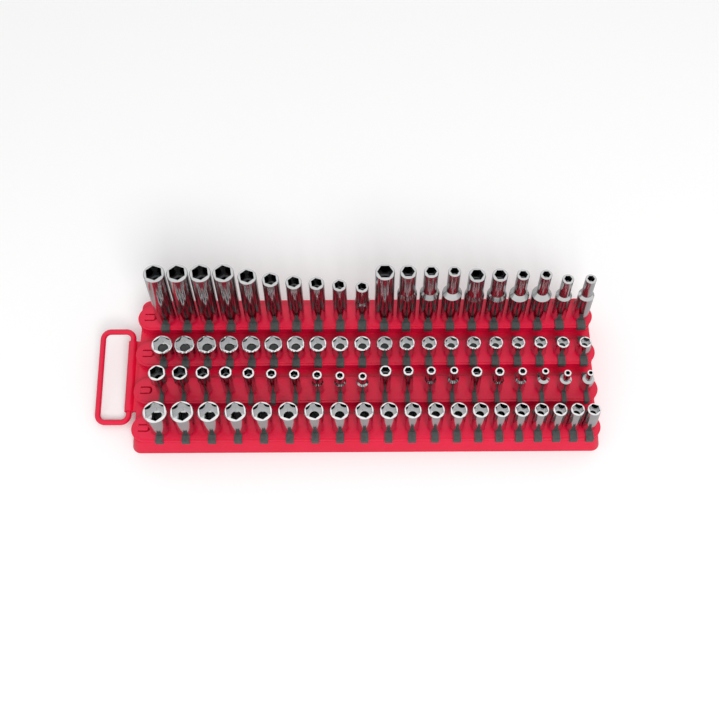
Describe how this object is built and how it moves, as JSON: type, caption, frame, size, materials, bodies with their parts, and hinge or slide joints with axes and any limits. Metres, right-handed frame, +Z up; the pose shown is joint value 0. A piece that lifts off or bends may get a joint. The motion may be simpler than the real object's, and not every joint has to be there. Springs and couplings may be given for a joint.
{
  "type": "socket organizer tray",
  "caption": "Stepped plastic tray with four clip rails, chrome sockets standing on sliding clips, and a folding carry handle at one end.",
  "frame": {"origin": "middle of the tray's footprint, on the surface it stands on", "axes": "+Z up, +X along the rails away from the handle, +Y towards the highest tier"},
  "size_m": [0.5241, 0.165, 0.1292],
  "materials": {
    "red_plastic": "glossy moulded",
    "clip_plastic": "matte moulded",
    "chrome": "polished chrome plate"
  },
  "bodies": {
    "tray": {"base_tray": "red_plastic", "rail_front": "red_plastic", "clips_front": "clip_plastic", "clips_front_wide": "clip_plastic", "rail_mid_front": "red_plastic", "clips_mid_front": "clip_plastic", "rail_mid_back": "red_plastic", "clips_mid_back": "clip_plastic", "rail_back": "red_plastic", "clips_back": "clip_plastic"},
    "handle": {"carry_handle": "red_plastic"},
    "tab_front": {"end_stop_tab_front": "red_plastic"},
    "tab_mid_front": {"end_stop_tab_mid_front": "red_plastic"},
    "tab_mid_back": {"end_stop_tab_mid_back": "red_plastic"},
    "tab_back": {"end_stop_tab_back": "red_plastic"},
    "clip_front": {"clip_front_first": "clip_plastic"},
    "clip_mid_front": {"clip_mid_front_first": "clip_plastic"},
    "clip_mid_back": {"clip_mid_back_first": "clip_plastic"},
    "clip_back": {"clip_back_first": "clip_plastic"},
    "socket_front": {"socket_front_first": "chrome"},
    "front_wide_set": {"sockets_front_wide_set": "chrome"},
    "front_narrow_set": {"sockets_front_narrow_set": "chrome"},
    "socket_mid_front": {"socket_mid_front_first": "chrome"},
    "mid_front_falling_set": {"sockets_mid_front_falling_set": "chrome"},
    "mid_front_necked_set_a": {"sockets_mid_front_necked_set_a": "chrome"},
    "mid_front_necked_set_b": {"sockets_mid_front_necked_set_b": "chrome"},
    "mid_front_last_pair": {"sockets_mid_front_last_pair": "chrome"},
    "socket_mid_back": {"socket_mid_back_first": "chrome"},
    "mid_back_wide_set": {"sockets_mid_back_wide_set": "chrome"},
    "mid_back_narrow_set": {"sockets_mid_back_narrow_set": "chrome"},
    "socket_back": {"socket_back_first": "chrome"},
    "back_tall_set": {"sockets_back_tall_set": "chrome"},
    "back_falling_set": {"sockets_back_falling_set": "chrome"},
    "back_necked_set_a": {"sockets_back_necked_set_a": "chrome"},
    "back_necked_set_b": {"sockets_back_necked_set_b": "chrome"},
    "back_last_pair": {"sockets_back_last_pair": "chrome"}
  },
  "joints": [
    {"name": "handle_swing", "type": "hinge", "parent": "tray", "child": "handle", "pos_m": [-0.2475, 0, 0.0143], "axis": [0, 0.9871, 0.1604], "range_deg": [0, 100]},
    {"name": "tab_front_press", "type": "hinge", "parent": "tray", "child": "tab_front", "pos_m": [-0.2326, -0.065, 0.0227], "axis": [0, 1, 0], "range_deg": [0, 12], "stiffness_Nm_per_rad": 0.2},
    {"name": "tab_mid_front_press", "type": "hinge", "parent": "tray", "child": "tab_mid_front", "pos_m": [-0.2326, -0.025, 0.0292], "axis": [0, 1, 0], "range_deg": [0, 12], "stiffness_Nm_per_rad": 0.2},
    {"name": "tab_mid_back_press", "type": "hinge", "parent": "tray", "child": "tab_mid_back", "pos_m": [-0.2326, 0.015, 0.0357], "axis": [0, 1, 0], "range_deg": [0, 12], "stiffness_Nm_per_rad": 0.2},
    {"name": "tab_back_press", "type": "hinge", "parent": "tray", "child": "tab_back", "pos_m": [-0.2326, 0.055, 0.0422], "axis": [0, 1, 0], "range_deg": [0, 12], "stiffness_Nm_per_rad": 0.2},
    {"name": "clip_front_slide", "type": "slide", "parent": "tray", "child": "clip_front", "axis": [1, 0, 0], "range_m": [-0.0076, 0.0026]},
    {"name": "clip_mid_front_slide", "type": "slide", "parent": "tray", "child": "clip_mid_front", "axis": [1, 0, 0], "range_m": [-0.00845, 0.006]},
    {"name": "clip_mid_back_slide", "type": "slide", "parent": "tray", "child": "clip_mid_back", "axis": [1, 0, 0], "range_m": [-0.0078, 0.00133]},
    {"name": "clip_back_slide", "type": "slide", "parent": "tray", "child": "clip_back", "axis": [1, 0, 0], "range_m": [-0.00685, 0.0013]},
    {"name": "socket_front_pull", "type": "slide", "parent": "clip_front", "child": "socket_front", "axis": [0, 0, 1], "range_m": [0, 0.014]},
    {"name": "front_wide_set_pull", "type": "slide", "parent": "tray", "child": "front_wide_set", "axis": [0, 0, 1], "range_m": [0, 0.014]},
    {"name": "front_narrow_set_pull", "type": "slide", "parent": "tray", "child": "front_narrow_set", "axis": [0, 0, 1], "range_m": [0, 0.014]},
    {"name": "socket_mid_front_pull", "type": "slide", "parent": "clip_mid_front", "child": "socket_mid_front", "axis": [0, 0, 1], "range_m": [0, 0.012]},
    {"name": "mid_front_falling_set_pull", "type": "slide", "parent": "tray", "child": "mid_front_falling_set", "axis": [0, 0, 1], "range_m": [0, 0.012]},
    {"name": "mid_front_necked_set_a_pull", "type": "slide", "parent": "tray", "child": "mid_front_necked_set_a", "axis": [0, 0, 1], "range_m": [0, 0.012]},
    {"name": "mid_front_necked_set_b_pull", "type": "slide", "parent": "tray", "child": "mid_front_necked_set_b", "axis": [0, 0, 1], "range_m": [0, 0.012]},
    {"name": "mid_front_last_pair_pull", "type": "slide", "parent": "tray", "child": "mid_front_last_pair", "axis": [0, 0, 1], "range_m": [0, 0.012]},
    {"name": "socket_mid_back_pull", "type": "slide", "parent": "clip_mid_back", "child": "socket_mid_back", "axis": [0, 0, 1], "range_m": [0, 0.014]},
    {"name": "mid_back_wide_set_pull", "type": "slide", "parent": "tray", "child": "mid_back_wide_set", "axis": [0, 0, 1], "range_m": [0, 0.014]},
    {"name": "mid_back_narrow_set_pull", "type": "slide", "parent": "tray", "child": "mid_back_narrow_set", "axis": [0, 0, 1], "range_m": [0, 0.014]},
    {"name": "socket_back_pull", "type": "slide", "parent": "clip_back", "child": "socket_back", "axis": [0, 0, 1], "range_m": [0, 0.014]},
    {"name": "back_tall_set_pull", "type": "slide", "parent": "tray", "child": "back_tall_set", "axis": [0, 0, 1], "range_m": [0, 0.014]},
    {"name": "back_falling_set_pull", "type": "slide", "parent": "tray", "child": "back_falling_set", "axis": [0, 0, 1], "range_m": [0, 0.014]},
    {"name": "back_necked_set_a_pull", "type": "slide", "parent": "tray", "child": "back_necked_set_a", "axis": [0, 0, 1], "range_m": [0, 0.014]},
    {"name": "back_necked_set_b_pull", "type": "slide", "parent": "tray", "child": "back_necked_set_b", "axis": [0, 0, 1], "range_m": [0, 0.014]},
    {"name": "back_last_pair_pull", "type": "slide", "parent": "tray", "child": "back_last_pair", "axis": [0, 0, 1], "range_m": [0, 0.014]}
  ]
}
